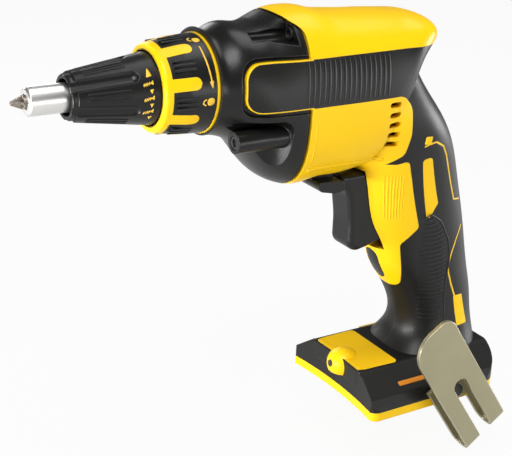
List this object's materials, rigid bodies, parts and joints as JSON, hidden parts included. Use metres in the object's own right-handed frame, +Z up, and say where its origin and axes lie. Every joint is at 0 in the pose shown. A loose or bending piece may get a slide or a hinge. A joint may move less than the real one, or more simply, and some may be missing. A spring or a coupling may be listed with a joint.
{
  "type": "drywall screwdriver",
  "caption": "Pistol-grip cordless drywall screwdriver: depth-setting nose cone, locking collar, gear case, motor in a two-part housing, trigger, battery foot and belt hook.",
  "frame": {"origin": "middle of the foot, level with its battery rails", "axes": "+X forward to the bit, +Y to the left, +Z up"},
  "size_m": [0.266, 0.0908, 0.2428],
  "materials": {
    "yellow_plastic": "satin",
    "grip_rubber": "fine matt grain",
    "black_plastic": "fine matt grain",
    "trim_plastic": "satin",
    "case_alloy": "black satin coating",
    "steel": "ground",
    "dark_steel": "black oxide",
    "holder_steel": "polished",
    "bit_steel": "grey phosphate",
    "magnet": "nickel plate",
    "lamination": "stacked sheet",
    "copper": "enamelled",
    "bronze": "turned",
    "board": "solder mask",
    "grey_plastic": "moulded",
    "seal_rubber": "smooth",
    "lens": "clear",
    "hook_steel": "plated"
  },
  "bodies": {
    "tool": {"index_ring": "trim_plastic", "gear_case": "case_alloy", "gear_case_screws": "dark_steel", "gear_plate": "case_alloy", "gear_bearing": "steel", "spindle_bush": "bronze", "spindle_seal": "seal_rubber", "stator": "lamination", "stator_coils": "copper", "front_bearing": "steel", "rear_bearing": "steel", "sensor_board": "board", "housing_left": "yellow_plastic", "housing_right": "yellow_plastic", "grip_left": "grip_rubber", "grip_right": "grip_rubber", "housing_screws": "dark_steel", "trigger_spring": "steel", "switch_module": "grey_plastic", "terminal_block": "black_plastic", "terminal_blades": "bronze", "control_module": "grey_plastic", "light_lens": "lens", "light_board": "board", "belt_hook": "hook_steel", "hook_screw": "dark_steel"},
    "collar": {"lock_collar": "black_plastic", "collar_trim": "trim_plastic"},
    "ring": {"depth_ring": "grey_plastic"},
    "cone": {"nose_cone": "black_plastic"},
    "rotor": {"motor_shaft": "steel", "rotor": "lamination", "cooling_fan": "grey_plastic"},
    "drive": {"drive_gear": "steel", "clutch_spring": "steel"},
    "spindle": {"spindle": "steel", "bit_holder": "holder_steel", "holder_magnet": "magnet", "driver_bit": "bit_steel"},
    "trigger": {"trigger": "black_plastic"},
    "lever": {"reverse_lever": "black_plastic"},
    "button": {"lock_button": "black_plastic"}
  },
  "joints": [
    {"name": "trigger_pull", "type": "slide", "parent": "tool", "child": "trigger", "axis": [-1, 0, 0], "range_m": [0, 0.007], "stiffness_N_per_m": 600, "springref_m": -0.003, "deforming": ["trigger_spring"]},
    {"name": "lock_press", "type": "slide", "parent": "tool", "child": "button", "axis": [-1, 0, 0], "range_m": [0, 0.0025], "stiffness_N_per_m": 800, "springref_m": -0.002},
    {"name": "reverse_shift", "type": "slide", "parent": "tool", "child": "lever", "axis": [0, 1, 0], "range_m": [-0.004, 0.004]},
    {"name": "collar_lock", "type": "hinge", "parent": "tool", "child": "collar", "pos_m": [0, 0, 0.181], "axis": [1, 0, 0], "range_deg": [0, 35]},
    {"name": "depth_travel", "type": "slide", "parent": "tool", "child": "ring", "axis": [1, 0, 0], "range_m": [-0.00201, 0.00201]},
    {"name": "depth_turn", "type": "hinge", "parent": "ring", "child": "cone", "pos_m": [0, 0, 0.181], "axis": [1, 0, 0], "range_deg": [-180, 180]},
    {"name": "rotor_spin", "type": "hinge", "parent": "tool", "child": "rotor", "pos_m": [0, 0, 0.157], "axis": [1, 0, 0], "continuous": true},
    {"name": "drive_spin", "type": "hinge", "parent": "tool", "child": "drive", "pos_m": [0, 0, 0.181], "axis": [1, 0, 0], "continuous": true},
    {"name": "spindle_push", "type": "slide", "parent": "drive", "child": "spindle", "axis": [-1, 0, 0], "range_m": [0, 0.004], "stiffness_N_per_m": 1500, "springref_m": -0.003, "deforming": ["clutch_spring"]}
  ],
  "couplings": [
    {"joint": "drive_spin", "follows": "rotor_spin", "ratio": -0.33333},
    {"joint": "depth_travel", "follows": "depth_turn", "m_per_rad": 0.00063662}
  ]
}
